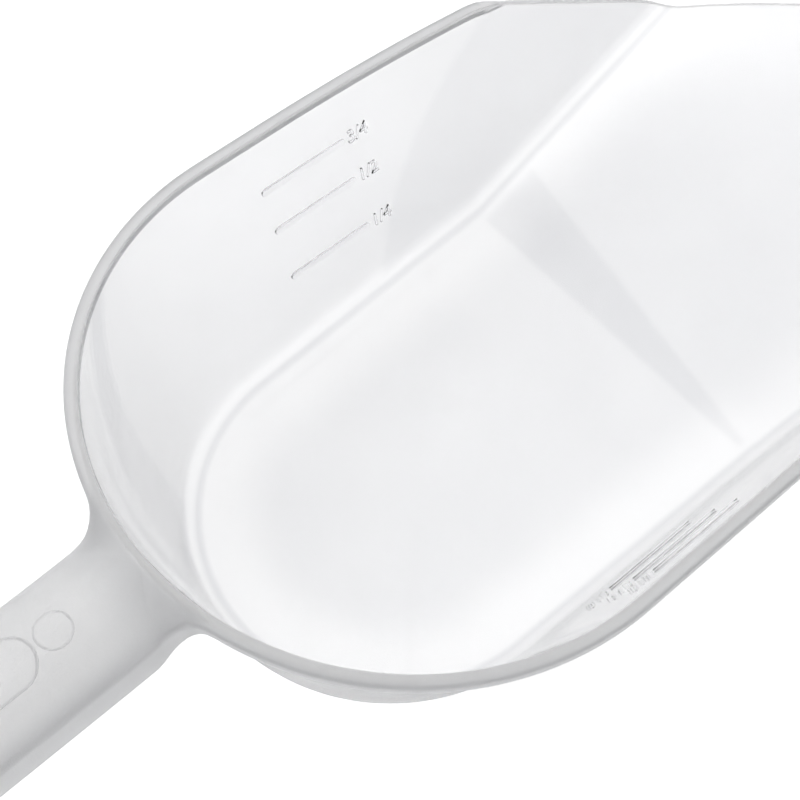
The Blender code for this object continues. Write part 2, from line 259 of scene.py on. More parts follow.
class BowlShape:
    """Formulas for the bowl's inside, shared by everything that lies on it."""

    def __init__(self, sizes):
        self.s = sizes

    def half_width(self, x, z):
        return self.s.floor_half_width + self.s.side_taper * x + self.s.wall_flare * z

    def centre(self, z):
        return self.s.back_centre + self.s.back_shift * z

    def back_radius(self, z):
        return self.half_width(self.centre(z), z) / math.hypot(1, self.s.side_taper)

    def floor(self, x):
        """Floor height: level, then a short bend into the ramp."""
        past = x - self.s.crease
        bend_length = self.s.crease_round
        if past <= -bend_length:
            return 0.0
        if past >= bend_length:
            return self.s.ramp_slope * past
        return self.s.ramp_slope * (past + bend_length) ** 2 / (4 * bend_length)

    def rim(self, x):
        return self.s.rim - self.s.rim_slope * x - self.s.droop * max(0.0, x - self.s.droop_start) ** 2

    def back_rim(self, angle):
        z = self.s.rim
        for _ in range(15):
            z = self.rim(self.centre(z) + self.back_radius(z) * math.cos(angle))
        return z

    def back_section(self, angle):
        def place(w, z):
            return self.centre(z) + w * math.cos(angle), w * math.sin(angle), z
        flare = (self.back_radius(MM) - self.back_radius(0)) / MM
        return Section(place, self.back_radius(0), 0.0, flare, self.back_rim(angle), self.s)

    def side_section(self, x):
        base = self.floor(x)
        return Section(lambda w, z: (x, w, z), self.half_width(x, base), base, self.s.wall_flare,
                       self.rim(x), self.s)

    def lip_reach(self, x, inset):
        """Half width of the lip's plan at x: a straight flank that runs tangent into the round nose."""
        nose, radius = self.s.lip_tip - self.s.lip_nose, self.s.lip_nose - inset
        side = self.half_width(self.s.lip_side, self.floor(self.s.lip_side))
        away = math.hypot(self.s.lip_side - nose, side)
        turn = math.atan2(side, self.s.lip_side - nose) - math.acos(self.s.lip_nose / away)
        if x >= nose + radius * math.cos(turn):
            return math.sqrt(max(0.0, radius ** 2 - (x - nose) ** 2))
        return (radius - (x - nose) * math.cos(turn)) / math.sin(turn)

    def trimmed(self, section, x, inset):
        """Distance along a side section at which the moulding ends, less the inset of a rounded edge."""
        corner, end = self.s.corner, self.s.lip_side
        drop = (self.floor(end) - self.rim(corner)) / (end - corner)
        front = section.along_at(self.rim(corner) + drop * (x - corner)) - inset * math.hypot(1, drop)
        top = soft_min(section.reach, front, self.s.corner_round)
        return max(0.0, soft_min(top, self.lip_reach(x, inset), self.s.lip_side_round))


# ---------------------------------------------------------------- the edge band: bead, front edge, handle

EDGE_STEPS = (4, 16, 10, 8, 5, 2, 4, 8, 6, 14)     # columns in each stretch of a rib, in order
DECK_START = EDGE_STEPS[0]
UNDER_STEPS = EDGE_STEPS[-1]
HOLLOW_SLANT = 1.38                 # where a hollow rib's inner edge begins, in inner radii
SLIVER = 0.02 * MM                  # flat stretch between the two bends of the handle's lower edge
CHANGE_START = -2 * MM              # the bead turns into the handle from here
CHANGE_END = 14 * MM                # to here, both along the edge from the root fillet
SIDE_START = -64 * MM               # first cut in front of the round back
SPACING_LEAST = 1 * MM              # distance between side cuts where the outline turns
SPACING_MOST = 4 * MM               # and where it runs straight
SPACING_RATE = 0.5                  # growth of that distance with the distance from a turn
CORNER_CALM = 5 * MM                # half length of the turn at the front corner
LIP_CALM = 8 * MM                   # and of the turns at the lip
CREASE_CALM = 3 * MM                # and at the crease
NOSE_SHARE = 0.62                   # part of the nose's radius that is cut at the side spacing
NOSE_GAP = 1.5 * MM                 # from the last of those cuts to the first one set by angle
NOSE_STEPS = 26
BEAD_END_FROM = -5 * MM             # the bead turns into the plain front edge from here
BEAD_END_TO = 7 * MM                # to here, both from the front corner
LIP_THINNING = 15 * MM              # distance from the edge over which the lip gets thinner
HEADING_STEP = 0.3 * MM
ROOT_CUTS = (1.7 * MM, 3 * MM)      # extra cuts where the handle leaves the rim
SPINE_START = 5 * MM
SPINE_STEPS = 10
STRETCH_STEPS = 13                  # cuts from the straight part to the hanging hole
TURN_STEPS = 32                     # cuts round half of the hole and of the handle's end
ROUND_STEPS = 4                     # steps over each rounded rim of the hole
HOLE_STEPS = 3                      # steps down its wall
WELD_DISTANCE = 2e-6
SMALLEST_EDGE = 1e-7
SHARP_ANGLE = math.radians(35)


def bead_rib(reach, wall_reach, flare, top, rim):
    """(w, z) points over a solid bead: inner edge, top, outer corner, side, underside, back to the wall."""
    low, steps = top - rim.depth, EDGE_STEPS
    points = [(-rim.inner_edge * flare, top - rim.inner_edge)]
    points += bend(points[-1], (0, top), (rim.inner_edge, top), steps[0])
    points += line(points[-1], (reach - rim.edge, top), steps[1])
    points += bend(points[-1], (reach, top), (reach, top - rim.edge), steps[2])
    points += line(points[-1], (reach, low + rim.under), steps[3])
    points += bend(points[-1], (reach, low), (reach - rim.under, low), steps[4])
    return points + line(points[-1], (wall_reach, low), sum(steps[5:]))


def crown_radius(handle):
    """Radius of the arc over the handle, between its two rounded corners."""
    middle, rise = handle.half_width - handle.corner, handle.crown - handle.shoulder
    return (middle ** 2 + rise ** 2 - handle.corner ** 2) / (2 * rise - 2 * handle.corner)


def channel_rib(reach, starts, crown, rim, handle):
    """(w, z) points over half of the hollow handle; starts are w on the crown and under it."""
    steps = EDGE_STEPS
    corner, rise = handle.corner, handle.crown - handle.shoulder
    side = min(corner, reach - handle.wall)
    middle, far = handle.half_width - corner, reach - side
    radius = crown_radius(handle)
    turn = math.asin(middle / (radius - corner))
    shoulder = crown - rise
    lower, half = handle.bottom, handle.wall / 2
    outside = reach + handle.draft
    hollow = outside - handle.wall

    def crown_arc(inset, start, count):
        """From w = start to where the corner radius begins, at this depth in the plastic."""
        spread = far / math.sin(turn) + side - inset
        first = math.asin(start / spread)
        angles = [mix(first, turn, step / count) for step in range(count + 1)]
        return [(spread * math.sin(a), crown - inset - (radius - inset) * (1 - math.cos(a))) for a in angles]

    def corner_arc(inset, count):
        angles = [mix(turn, math.pi / 2, step / count) for step in range(count + 1)]
        return [(far + (side - inset) * math.sin(a), shoulder + (corner - inset) * math.cos(a))
                for a in angles]

    over = crown_arc(0.0, starts[0], steps[1])
    under = crown_arc(handle.wall, starts[1], steps[9])
    points = [(starts[0] - rim.inner_edge * HOLLOW_SLANT, over[0][1] - rim.inner_edge)]
    points += bend(points[-1], (starts[0] - rim.inner_edge, over[0][1]), over[0], steps[0])
    points += over[1:] + corner_arc(0.0, steps[2])[1:]
    points += line(points[-1], (outside, lower + half), steps[3])
    points += bend(points[-1], (outside, lower), (outside - half, lower), steps[4])
    points += line(points[-1], (outside - half - SLIVER, lower), steps[5])
    points += bend(points[-1], (hollow, lower), (hollow, lower + half), steps[6])
    points += line(points[-1], (reach - handle.wall, shoulder), steps[7])
    points += corner_arc(handle.wall, steps[8])[-2::-1]
    return points + under[-2::-1]


class EdgePath:
    """Plan of the moulding's outer edge: round the back, in through the root fillet, along the handle."""

    def __init__(self, bowl, rim, handle):
        self.handle = handle
        top = bowl.back_rim(math.pi)
        self.top = top
        self.centre = bowl.centre(top)
        self.inside = bowl.back_radius(top)
        away = self.inside + rim.width + handle.fillet
        self.fillet_y = handle.half_width + handle.fillet
        self.fillet_x = self.centre - math.sqrt(away ** 2 - self.fillet_y ** 2)
        self.tangent = math.pi - math.asin(self.fillet_y / away)     # polar angle where the fillet begins
        self.arc = handle.fillet * (self.tangent - math.pi / 2)
        self.rim_length = self.inside * (math.pi - self.tangent)
        inner_total = self.rim_length + (self.centre - self.inside - handle.straight)
        self.gear = (self.arc + self.fillet_x - handle.straight) / inner_total

    def outer_point(self, travelled):
        """Point on the outer edge this far past the start of the root fillet."""
        if travelled <= self.arc:
            turn = self.tangent - math.pi - travelled / self.handle.fillet
            return Vector((self.fillet_x + self.handle.fillet * math.cos(turn),
                           self.fillet_y + self.handle.fillet * math.sin(turn), 0))
        return Vector((self.fillet_x - (travelled - self.arc), self.handle.half_width, 0))

    def channel_share(self, travelled):
        """0 where the edge is the rim's bead, 1 where it is the handle."""
        return smooth(CHANGE_START, CHANGE_END, travelled)


def place_rib(points, start, outer, first_w):
    """Puts (w, z) points over the straight plan line from start, at w = first_w, to the outer point."""
    flat = Vector((outer.x - start.x, outer.y - start.y, 0)).normalized()
    return [Vector((start.x, start.y, z)) + flat * (w - first_w) for w, z in points]


class Moulding:
    """Builds the whole scoop as one closed skin."""

    def __init__(self, scene):
        self.bowl = BowlShape(scene.scoop_bowl)
        self.rim, self.handle, self.detail = scene.scoop_rim, scene.scoop_handle, scene.scoop_detail
        self.path = EdgePath(self.bowl, self.rim, self.handle)

    def wall_edge(self, section, flare, top, wall):
        """Where the bead leaves the inside, and where it meets the wall's outer face."""
        inner_reach = section.along_at(top - self.rim.inner_edge)
        outer_reach = section.along_at(top - self.rim.depth + wall * math.sin(section.lean))
        wall_reach = wall * math.hypot(1, flare) - flare * self.rim.depth
        return inner_reach, outer_reach, wall_reach

    def back_row(self, angle):
        """(inner columns, edge points, outer columns) at this angle round the back."""
        section, path, wall = self.bowl.back_section(angle), self.path, self.bowl.s.wall
        flare, top = math.tan(section.lean), section.top
        inner_reach, outer_reach, wall_reach = self.wall_edge(section, flare, top, wall)
        radial = Vector((math.cos(angle), math.sin(angle), 0))
        face = section.inner(section.along_at(top))
        start = face + radial * self.rim.inner_edge
        travelled = (angle - path.tangent) * path.inside
        if travelled <= 0:
            outer = face + radial * self.rim.width
            share = path.channel_share(travelled)
        else:
            outer = path.outer_point(travelled * path.gear)
            share = path.channel_share(travelled * path.gear)
        reach = self.rim.inner_edge + (Vector((outer.x, outer.y, 0)) - Vector((start.x, start.y, 0))).length
        points = bead_rib(reach, wall_reach, flare, top, self.rim)
        if share:
            under = wall_reach + flare * (self.rim.depth - self.handle.wall)
            hollow = channel_rib(reach, (self.rim.inner_edge, under), top, self.rim, self.handle)
            points = [(mix(a[0], b[0], share), mix(a[1], b[1], share)) for a, b in zip(points, hollow)]
        edge = place_rib(points, start, outer, self.rim.inner_edge)
        last_z = points[-1][1]
        outer_reach = section.along_at(last_z + wall * math.sin(section.lean))
        inner = [section.inner(along) for along in section.columns(self.detail, inner_reach)]
        skin = [section.outer(along, wall) for along in section.columns(self.detail, outer_reach)]
        for step in range(DECK_START + 1):
            w, z = points[step]
            edge[step] = Vector((face.x, face.y, z)) + radial * w
        edge[0] = inner[-1]
        gap = skin[-1] - edge[-1]
        for step in range(UNDER_STEPS + 1):
            edge[step - UNDER_STEPS - 1] += gap * smooth(0, UNDER_STEPS, step)
        return inner, edge, skin[::-1]

    def side_stations(self):
        """x of the cuts from the round back to the lip's tip, closer together where the outline turns."""
        s = self.bowl.s
        stations, x = [], SIDE_START
        turns = (s.corner, CORNER_CALM), (s.lip_side, LIP_CALM), (s.crease, CREASE_CALM)
        nose = s.lip_tip - s.lip_nose
        while x < nose + NOSE_SHARE * s.lip_nose:
            stations.append(x)
            near = min(abs(x - turn) - calm for turn, calm in turns)
            x += min(max(near * SPACING_RATE, SPACING_LEAST), SPACING_MOST)
        inset = s.lip_wall / 2
        first = math.acos((stations[-1] + NOSE_GAP - nose) / (s.lip_nose - inset))
        angles = [first * (1 - step / NOSE_STEPS) for step in range(NOSE_STEPS + 1)]
        return stations + [nose + (s.lip_nose - inset) * math.cos(angle) for angle in angles]

    def side_row(self, x, ahead):
        """The same at x, where the edge changes from bead to front edge to lip."""
        s, bowl = self.bowl.s, self.bowl
        section = bowl.side_section(x)
        edge_wall = mix(s.wall, s.lip_wall, smooth(s.corner, s.lip_side, x))
        share = smooth(s.corner + BEAD_END_FROM, s.corner + BEAD_END_TO, x)
        reach = bowl.trimmed(section, x, share * edge_wall / 2)
        edge_at = section.point(reach)
        inner_reach, outer_reach, wall_reach = reach, reach, 0.0
        if share < 1:
            flare, top = s.wall_flare, edge_at[1]
            found = self.wall_edge(section, flare, top, s.wall)
            inner_reach, outer_reach = mix(found[0], reach, share), mix(found[1], reach, share)
            wall_reach = found[2]
        def thickness(along):
            close = 1 - min(1.0, (reach - along) / LIP_THINNING)
            return mix(s.wall, edge_wall, close * smooth(s.corner, s.lip_side, x))
        inner = [section.inner(along) for along in section.columns(self.detail, inner_reach)]
        skin = [section.outer(along, thickness(along))
                for along in section.columns(self.detail, outer_reach)]
        middle = (inner[-1] + skin[-1]) / 2
        across = (skin[-1] - inner[-1]) / 2
        away = ahead.cross(across).normalized() * across.length
        count = sum(EDGE_STEPS)
        edge = [middle - across * math.cos(math.pi * step / count) + away * math.sin(math.pi * step / count)
                for step in range(count + 1)]
        if share < 1:
            points = bead_rib(self.rim.width, wall_reach, s.wall_flare, edge_at[1], self.rim)
            bead = [Vector((x, edge_at[0] + w, z)) for w, z in points]
            edge = [a.lerp(b, share) for a, b in zip(bead, edge)]
            edge[0], edge[-1] = inner[-1], skin[-1]
        return inner, edge, skin[::-1]

    def edge_heading(self, x):
        """Direction in which the moulding's edge runs forward at x."""
        def spot(place):
            section = self.bowl.side_section(place)
            return section.inner(self.bowl.trimmed(section, place, self.bowl.s.lip_wall / 2))
        tip = self.bowl.s.lip_tip - self.bowl.s.lip_wall / 2
        if x > tip - HEADING_STEP:
            return Vector((0, -1, 0))
        return (spot(min(x + HEADING_STEP, tip)) - spot(x - HEADING_STEP)).normalized()

    def handle_rows(self):
        """Edge points of the ribs behind the rim, from the handle's root to the middle of its end."""
        path, handle = self.path, self.handle
        root = path.centre - path.inside
        rows = []
        spine = root - handle.straight - SPINE_START
        cuts = [SPINE_START + spine * step / SPINE_STEPS for step in range(SPINE_STEPS + 1)]
        for travelled in [*ROOT_CUTS, *cuts]:
            x = root - travelled
            outer = path.outer_point((path.rim_length + travelled) * path.gear)
            start = Vector((x, 0, 0))
            crown = mix(path.top, handle.crown, smooth(0, CHANGE_END, travelled))
            share = path.channel_share((path.rim_length + travelled) * path.gear)
            reach = (outer - start).length
            points = channel_rib(reach, (0.0, 0.0), crown, self.rim, handle)
            if share < 1:
                solid = bead_rib(reach, 0.0, 0.0, crown, self.rim)
                points = [(mix(a[0], b[0], share), mix(a[1], b[1], share)) for a, b in zip(solid, points)]
                points[DECK_START] = (0.0, points[DECK_START][1])
            rows.append(place_rib(points, start, outer, 0.0))
        hole = handle.hole + self.rim.inner_edge
        stretch = handle.straight - handle.end_centre - hole
        for step in range(1, STRETCH_STEPS + 1):
            start = Vector((handle.straight - stretch * step / STRETCH_STEPS, 0, 0))
            rows.append(self.straight_rib(start, Vector((0, 1, 0)), (0.0, 0.0)))
        middle = Vector((handle.end_centre, 0, 0))
        rims = []
        for step in range(TURN_STEPS + 1):
            turn = math.pi * step / TURN_STEPS
            away = Vector((math.cos(turn), math.sin(turn), 0))
            if turn < math.pi / 2:
                start, flat = middle + Vector((away.x * hole, 0, 0)), Vector((0, 1, 0))
                row = self.straight_rib(start, flat, (away.y * hole, away.y * hole))
            else:
                row = self.straight_rib(middle, away, (hole, hole))
            if step:
                rows.append(row)
            rims.append(self.hole_wall(row[DECK_START], row[-1], away))
        return rows, rims

    def straight_rib(self, start, flat, starts):
        points = channel_rib(self.handle.half_width, starts, self.handle.crown, self.rim, self.handle)
        return place_rib(points, start, start + flat, 0.0)

    def hole_wall(self, over, under, away):
        """Points down the wall of the hanging hole, with both rims rounded."""
        reach = self.rim.inner_edge
        down, inward = Vector((0, 0, reach)), away * reach
        points = [over] + [Vector(p) for p in bend(over, over - inward, over - inward - down, ROUND_STEPS)]
        foot = under - inward + down
        points += [Vector(p) for p in line(points[-1], foot, HOLE_STEPS)]
        return points + [Vector(p) for p in bend(foot, under - inward, under, ROUND_STEPS)]

    def build(self):
        """Returns the finished bmesh: half of the rows, their mirror image, welded and checked."""
        back_start = math.pi / 2 + math.atan(self.bowl.s.side_taper)
        parts = [self.side_row(x, self.edge_heading(x)) for x in self.side_stations()[::-1]]
        parts += [self.back_row(mix(back_start, math.pi, step / self.detail.back))
                  for step in range(self.detail.back + 1)]
        rows = [inner + edge[1:-1] + outer for inner, edge, outer in parts]
        behind, rims = self.handle_rows()
        root = parts[-1][1][DECK_START:]
        mesh = bmesh.new()
        for side in (1, -1):
            inner, edge, _ = parts[0]
            add_rows(mesh, rows, side, (len(inner) - 1, len(inner) + len(edge) - 2))
            add_rows(mesh, [root] + [row[DECK_START:] for row in behind], side)
            add_rows(mesh, rims, side)
        bmesh.ops.remove_doubles(mesh, verts=mesh.verts, dist=WELD_DISTANCE)
        bmesh.ops.dissolve_degenerate(mesh, dist=SMALLEST_EDGE, edges=mesh.edges)
        bmesh.ops.recalc_face_normals(mesh, faces=mesh.faces)
        open_edges = sum(not edge.is_manifold for edge in mesh.edges)
        if open_edges:
            raise RuntimeError(f"the moulding has {open_edges} open edges")
        return mesh


def add_rows(mesh, rows, side, borders=(0,)):
    """Adds quads between neighbouring rows, on one side of the middle; the finish changes at each border."""
    rows = [[mesh.verts.new((p[0], side * p[1], p[2])) for p in row] for row in rows]
    for row, following in zip(rows, rows[1:]):
        for column in range(len(row) - 1):
            corners = [row[column], row[column + 1], following[column + 1], following[column]]
            face = mesh.faces.new(corners[::side])
            face.material_index = sum(column >= border for border in borders)
            face.smooth = True


# ---------------------------------------------------------------- nodes

class Wire:
    """A node's output that takes part in Python arithmetic; each operation adds a Math node."""

    def __init__(self, tree, socket):
        self.tree, self.socket = tree, socket

    def maths(self, operation, *values, clamp=False):
        settings = {"operation": operation, "use_clamp": clamp}
        return self.tree.add("ShaderNodeMath", settings, dict(enumerate(values)))

    def __add__(self, other):
        return self.maths("ADD", self, other)

    def __mul__(self, other):
        return self.maths("MULTIPLY", self, other)

    def __sub__(self, other):
        return self.maths("SUBTRACT", self, other)

    def __rsub__(self, other):
        return self.maths("SUBTRACT", other, self)

    __radd__, __rmul__ = __add__, __mul__

    def least(self, other):
        return self.maths("MINIMUM", self, other)

    def most(self, other):
        return self.maths("MAXIMUM", self, other)

    def root(self):
        return self.maths("SQRT", self)

    def size(self):
        return self.maths("ABSOLUTE", self)

    def rise(self, low, high):
        """0 below low, 1 above high, and an even S between them."""
        settings = {"interpolation_type": "SMOOTHSTEP"}
        inputs = {"Value": self, "From Min": low, "From Max": high}
        return self.tree.add("ShaderNodeMapRange", settings, inputs)


class Tree:
    """Adds nodes to a shader or geometry tree."""

    def __init__(self, owner):
        self.owner = owner
        owner.nodes.clear()

    def add(self, kind, settings=None, inputs=None, output=0):
        """Makes a node: its settings first, then the value or wire of each socket. Returns one output."""
        node = self.owner.nodes.new(kind)
        for name, value in (settings or {}).items():
            setattr(node, name, value)
        for name, value in (inputs or {}).items():
            for item in value if isinstance(value, list) else [value]:
                if isinstance(item, Wire):
                    self.owner.links.new(item.socket, node.inputs[name])
                else:
                    node.inputs[name].default_value = item
        return Wire(self, node.outputs[output]) if node.outputs else None

    def ramp(self, value, stops):
        """A colour ramp through {place: colour}."""
        node = self.owner.nodes.new("ShaderNodeValToRGB")
        ramp = node.color_ramp
        places = sorted(stops)
        ramp.elements[0].position, ramp.elements[1].position = places[0], places[-1]
        for place in places[1:-1]:
            ramp.elements.new(place)
        for element, place in zip(ramp.elements, places):
            element.color = (*stops[place], 1)
        self.owner.links.new(value.socket, node.inputs["Fac"])
        return Wire(self, node.outputs["Color"])

    def noise(self, place, scale, detail=2.0, roughness=0.5):
        inputs = {"Vector": place, "Scale": scale, "Detail": detail, "Roughness": roughness}
        return self.add("ShaderNodeTexNoise", {}, inputs, "Fac")

    def blend(self, share, low, high):
        """Mixes two colours."""
        node = self.owner.nodes.new("ShaderNodeMix")
        node.data_type = "RGBA"
        factor, first, second = node.inputs[0], node.inputs[6], node.inputs[7]     # its colour sockets
        self.owner.links.new(share.socket, factor)
        first.default_value, second.default_value = (*low, 1), (*high, 1)
        return Wire(self, node.outputs[2])


class PlasticLooks(bpy.types.PropertyGroup):
    """Finish of the clear polypropylene."""
    milky: colour("Milky", "Tint where the plastic is cloudiest", (0.74, 0.745, 0.765))
    pale: colour("Pale", "Tint where the plastic is clearest", (0.99, 0.99, 0.995))
    polish: ratio("Polish", "Roughness of the polished inside", 0.045)
    frost: ratio("Frost", "Roughness of the frosted outside", 0.42)
    clearness: ratio("Clearness", "Share of the light that passes through", 0.86)
    index: ratio("Refraction", "Refractive index", 1.49)
    mark_index: ratio("Mark refraction", "Refractive index of the marks, thin parts of the wall", 1.35)
    # the darker edge tint is also the colour of the painted shade on rim and handle
    edge_cloud_and_shade: colour("Edge dark", "Tint of rim and handle, cloudiest", (0.80, 0.802, 0.81))
    edge_light: colour("Edge light", "Tint of rim and handle, clearest", (0.99, 0.99, 0.992))
    edge_clearness: ratio("Edge clearness", "Share of light through rim and handle", 0.45)


class HazeAndPaintedLightSizes(bpy.types.PropertyGroup):
    """How the bowl's tint varies: cloudier plastic on floor, ramp and walls, painted shade along the foot of
    the walls, painted reflections in the crease, round the back and on the left wall, and a paler band round
    the floor that is partly a painted highlight.
    """
    floor: ratio("Floor", "Haze in the middle of the floor", 0.3)
    ramp: ratio("Ramp", "Haze of the ramp", 0.36)
    wall: ratio("Wall", "Haze of the walls", 0.25)
    # painted shade: a dark line along the foot of the walls
    line: ratio("Foot line", "Haze along the foot of the walls", 0.5)
    # painted reflection: the dark wedge in the crease, with its sizes below
    crease: ratio("Crease", "Haze of the flow mark in the crease", 0.26)
    # the clear band round the floor is partly a painted highlight
    glow: length("Glow", "Width of the clear band round the floor", 26.0)
    foot: length("Foot", "Width of the line along the foot of the walls", 2.2)
    ramp_reach: length("Ramp reach", "Length over which the ramp clouds", 12.0)
    crease_edge: length("Crease edge", "How far the mark starts behind the crease", 1.5)
    crease_reach: length("Crease reach", "How far it reaches in front, in the middle", 12.1)
    crease_spread: ratio("Crease spread", "How it widens towards the left side", 0.181)
    crease_end: length("Crease end", "Where it stops short of the walls", 3.0)
    crease_soft: length("Crease softness", "Softness of the mark's edges", 2.0)
    foot_in: length("Foot inset", "How far the foot line lies in from the walls", 1.5)
    # painted reflection: the crescent round the back wall, with its sizes below
    painted_crescent: ratio("Crescent", "Haze of the flow mark round the back", 0.22)
    crescent_top: ratio("Crescent top", "Further haze of its upper part", 0.18)
    crescent_from: ratio("Crescent from", "Angle of its mouth side at the foot", 2.435)
    crescent_to: ratio("Crescent to", "Angle of its handle side at the foot", 2.88)
    # painted reflection: the darker part of the left wall, with its start below
    sweep: ratio("Sweep", "Haze of the left wall in front of its flow line", 0.2)
    sweep_start: length("Sweep start", "Where that line starts at the foot", -31.5)


CLEAR_SHARE = 0.3                   # part of the clear band that is fully clear
FOOT_FADE = 0.2                     # where the foot line begins to fade, in its widths
WALL_RISE = (1.5 * MM, 9 * MM)      # height above the foot over which the wall's haze comes in
CREASE_END_SOFT = 4 * MM
CRESCENT_SOFT = 0.012               # softness of the crescent's sides, as an angle
NEAR_POWER, NEAR_LEAN = 4.0, -0.21  # how its mouth side leans with height
FAR_POWER, FAR_LEAN = 2.4, -0.48    # and its handle side
UPPER_FALL, UPPER_LEVEL = 0.0205, 0.0958     # lower edge of its upper part
CRESCENT_FOOT = (3 * MM, 6 * MM)
SWEEP_POWER, SWEEP_BEND, SWEEP_LEAN = 3.0, 0.05, 0.42
SWEEP_FOOT = (1.5 * MM, 4 * MM)
LEFT_SOFT = 10 * MM                 # from the middle to where the left side has its full painted reflection
MARK_SOFT = 1 * MM
BEAD_FROM = 0.25                    # part of the bead's width at which its painted shade begins
HANDLE_FROM = 80 * MM               # from the middle of the round back to the handle's painted shade
HANDLE_SOFT = 8 * MM
FLOW_SCALE, WAVE_SCALE, WEAR_SCALE, SPECKLE_SCALE = 28.0, 45.0, 160.0, 2600.0
FLOW_TINT, SPECKLE_TINT = 0.25, 4
WEAR_ROUGHNESS, SPECKLE_ROUGHNESS = 0.5, 0.4


def scoop_axes(tree, place, scene):
    """x, y and z of this place in the scoop's own coordinates."""
    axes = [tree.add("ShaderNodeSeparateXYZ", {}, {"Vector": place}, axis) for axis in "XYZ"]
    shift = to_frame(scene).translation
    return axes[0] - shift.x, axes[1], axes[2] - shift.z


def bowl_haze_and_painted_light(tree, place, scene):
    """How dark the bowl's tint is: cloudier floor, ramp and walls; painted shade along the foot of the
    walls; painted reflections in the crease, round the back and on the left wall; a paler band round the
    floor that is partly a painted highlight.
    """
    bowl, haze_and_painted_light = scene.scoop_bowl, scene.scoop_haze
    x, y, z = scoop_axes(tree, place, scene)
    behind = (x - bowl.back_centre).least(0)
    across = (behind * behind + y * y).root()
    base = (x - bowl.crease).most(0) * bowl.ramp_slope
    width = x.most(bowl.back_centre) * bowl.side_taper + base * bowl.wall_flare + bowl.floor_half_width
    inside, up = width - across, (z - base).most(0)
    foot = up * (1 + bowl.wall_flare) - inside
    mark = foot + haze_and_painted_light.foot_in
    # paler band round the floor: partly a painted highlight
    floor = 1 - foot.rise(-haze_and_painted_light.glow, -haze_and_painted_light.glow * CLEAR_SHARE)
    ramp = x.rise(bowl.crease, bowl.crease + haze_and_painted_light.ramp_reach)
    wall = foot.rise(*WALL_RISE)
    # painted shade: a dark line along the foot of the walls
    line = mark.rise(-haze_and_painted_light.foot, 0) * (1 - mark.rise(haze_and_painted_light.foot * FOOT_FADE, haze_and_painted_light.foot))
    # painted reflection: a dark wedge in the crease, wider towards the left side
    left = x - (bowl.crease - haze_and_painted_light.crease_edge)
    right = y * haze_and_painted_light.crease_spread + (bowl.crease + haze_and_painted_light.crease_reach) - x
    crease = left.rise(0, haze_and_painted_light.crease_soft) * right.rise(0, haze_and_painted_light.crease_soft)
    crease = crease * (inside - haze_and_painted_light.crease_end).rise(0, CREASE_END_SOFT)
    height = z.most(0) * (1 / bowl.rim)
    # painted reflection: a crescent round the back wall, with a further upper part
    angle = y.maths("ARCTAN2", y, x - bowl.back_centre - z * bowl.back_shift)
    near_side = height.maths("POWER", height, NEAR_POWER) * NEAR_LEAN + haze_and_painted_light.crescent_from
    far_side = height.maths("POWER", height, FAR_POWER) * FAR_LEAN + haze_and_painted_light.crescent_to
    painted_crescent = (angle - near_side).rise(0, CRESCENT_SOFT) * (1 - (angle - far_side).rise(-CRESCENT_SOFT, 0))
    upper = (z + angle * UPPER_FALL - UPPER_LEVEL).rise(0, MARK_SOFT)
    painted_crescent = painted_crescent * (upper * haze_and_painted_light.crescent_top + haze_and_painted_light.painted_crescent) * foot.rise(*CRESCENT_FOOT)
    # painted reflection: the left wall is darker in front of this curved edge
    reflection_edge = height.maths("POWER", height, SWEEP_POWER) * SWEEP_BEND + z * SWEEP_LEAN + haze_and_painted_light.sweep_start
    sweep = (x - reflection_edge).rise(0, MARK_SOFT) * y.rise(0, LEFT_SOFT) * foot.rise(*SWEEP_FOOT)
    wall = wall * haze_and_painted_light.wall + painted_crescent + sweep * haze_and_painted_light.sweep
    cloud_and_painted_light = floor * haze_and_painted_light.floor * (1 - ramp) + ramp * haze_and_painted_light.ramp * (1 - foot.rise(-haze_and_painted_light.glow, 0))
    return (cloud_and_painted_light + wall + line * haze_and_painted_light.line + crease * haze_and_painted_light.crease).least(1.0)


def edge_painted_shade(tree, place, scene):
    """Painted shade on rim and handle: a darker tint on the bead's outside and at the handle's corners,
    where less light falls.
    """
    bowl, handle, rim = scene.scoop_bowl, scene.scoop_handle, scene.scoop_rim
    x, y, z = scoop_axes(tree, place, scene)
    behind = (x - bowl.back_centre - z * bowl.back_shift).least(0)
    across = (behind * behind + y * y).root()
    width = x.most(bowl.back_centre) * bowl.side_taper + z * bowl.wall_flare + bowl.floor_half_width
    # painted shade: the bead darkens towards its outside, the handle towards its corners
    bead = (across - width).rise(rim.width * BEAD_FROM, rim.width)
    corner = y.size().rise(handle.half_width - handle.corner, handle.half_width)
    root = bowl.back_centre - HANDLE_FROM
    on_handle = 1 - x.rise(root - HANDLE_SOFT, root + HANDLE_SOFT)
    return bead * (1 - on_handle) + corner * on_handle


def empty_material(name):
    """A material with nothing in its tree but the object coordinates."""
    material = bpy.data.materials.new(name)
    material.use_nodes = True
    tree = Tree(material.node_tree)
    return material, tree, tree.add("ShaderNodeTexCoord", output="Object")


